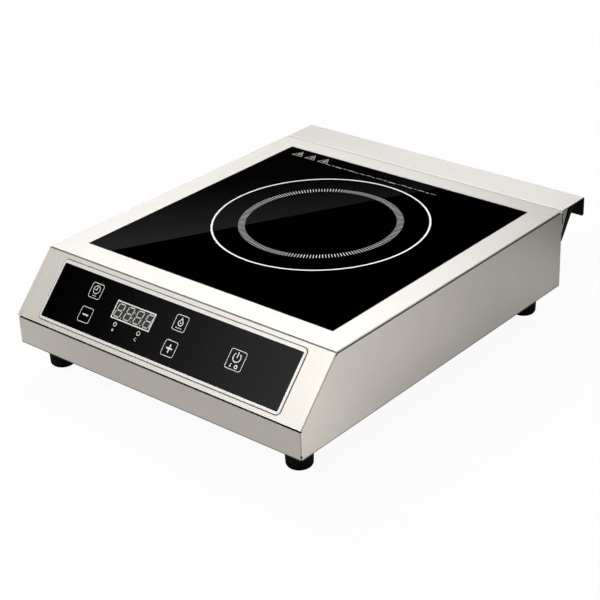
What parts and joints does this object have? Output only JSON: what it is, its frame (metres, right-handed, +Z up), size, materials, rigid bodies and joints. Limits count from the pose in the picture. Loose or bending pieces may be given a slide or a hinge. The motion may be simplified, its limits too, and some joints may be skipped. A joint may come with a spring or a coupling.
{
  "type": "induction hob",
  "caption": "Free-standing counter-top induction hob: folded steel casing, square black ceramic glass, sloping touch panel, rear guard over the exhaust and rubber feet.",
  "frame": {"origin": "centre of the bounding box's footprint, on the surface that the feet stand on", "axes": "+Z up, +X to the right of a cook who faces the control panel, +Y from the control panel to the rear guard, which is the longest way"},
  "size_m": [0.327, 0.4104, 0.1015],
  "materials": {
    "brushed_steel": "fine satin grain",
    "bezel_metal": "satin, brighter than the casing",
    "black_glass": "polished, opaque black",
    "silicone": "matt black silicone",
    "foot_rubber": "matt black, moulded",
    "zinc_sheet": "galvanised sheet",
    "black_plastic": "moulded, fine texture",
    "grey_plastic": "moulded",
    "circuit_board": "green solder mask",
    "enamelled_copper": "varnished copper wire",
    "ferrite": "sintered, matt",
    "insulating_sheet": "pressed mica and fibre",
    "aluminium": "extruded or rolled",
    "screw_steel": "zinc plated",
    "brass": "bright",
    "epoxy_black": "moulded epoxy",
    "capacitor_film": "blue potting",
    "yellow_wrap": "tape wrapped",
    "capacitor_sleeve": "shrink sleeve",
    "white_ceramic": "fired white",
    "red_lens": "tinted lens",
    "lead_jacket": "silicone jacket",
    "ribbon_grey": "flat grey jacket",
    "panel_print": "screen-printed white enamel"
  },
  "bodies": {
    "casing": {"top_cover": "brushed_steel", "body_shell": "brushed_steel", "rear_guard": "brushed_steel", "base_plate": "zinc_sheet", "rear_panel": "zinc_sheet", "rear_louvre": "black_plastic", "glass_top": "black_glass", "glass_seal": "silicone", "control_bezel": "bezel_metal", "bezel_gasket": "silicone", "control_glass": "black_glass", "control_tray": "grey_plastic", "control_board": "circuit_board", "touch_springs": "screw_steel", "display_module": "epoxy_black", "indicator_leds": "red_lens", "buzzer": "epoxy_black", "tray_screws": "screw_steel", "mica_sheet": "insulating_sheet", "coil_winding": "enamelled_copper", "coil_former": "grey_plastic", "ferrite_bars": "ferrite", "sensor_boot": "silicone", "glass_sensor": "white_ceramic", "coil_bridge": "aluminium", "fan_frame": "black_plastic", "fan_stator": "enamelled_copper", "fan_screws": "screw_steel", "main_board": "circuit_board", "board_standoffs": "grey_plastic", "heat_sink": "aluminium", "power_transistors": "epoxy_black", "bridge_rectifier": "epoxy_black", "resonant_capacitors": "capacitor_film", "filter_capacitor": "yellow_wrap", "choke_core": "ferrite", "choke_winding": "enamelled_copper", "electrolytic_capacitors": "capacitor_sleeve", "switching_transformer": "yellow_wrap", "relay": "capacitor_film", "fuse": "white_ceramic", "fuse_clips": "brass", "coil_terminals": "brass", "terminal_block": "white_ceramic", "coil_leads": "lead_jacket", "ribbon_cable": "ribbon_grey", "fan_lead": "lead_jacket", "mains_leads": "lead_jacket", "gland_body": "black_plastic", "gland_cap": "black_plastic", "gland_locknut": "black_plastic", "foot_screws": "screw_steel", "base_screws": "screw_steel", "rear_screws": "screw_steel", "foot_front_left": "foot_rubber", "foot_front_right": "foot_rubber", "foot_rear_left": "foot_rubber", "foot_rear_right": "foot_rubber"},
    "fan": {"fan_rotor": "black_plastic"}
  },
  "joints": [
    {"name": "fan_spin", "type": "hinge", "parent": "casing", "child": "fan", "pos_m": [-0.084, -0.086, 0.04], "axis": [0, 0, 1], "continuous": true}
  ]
}
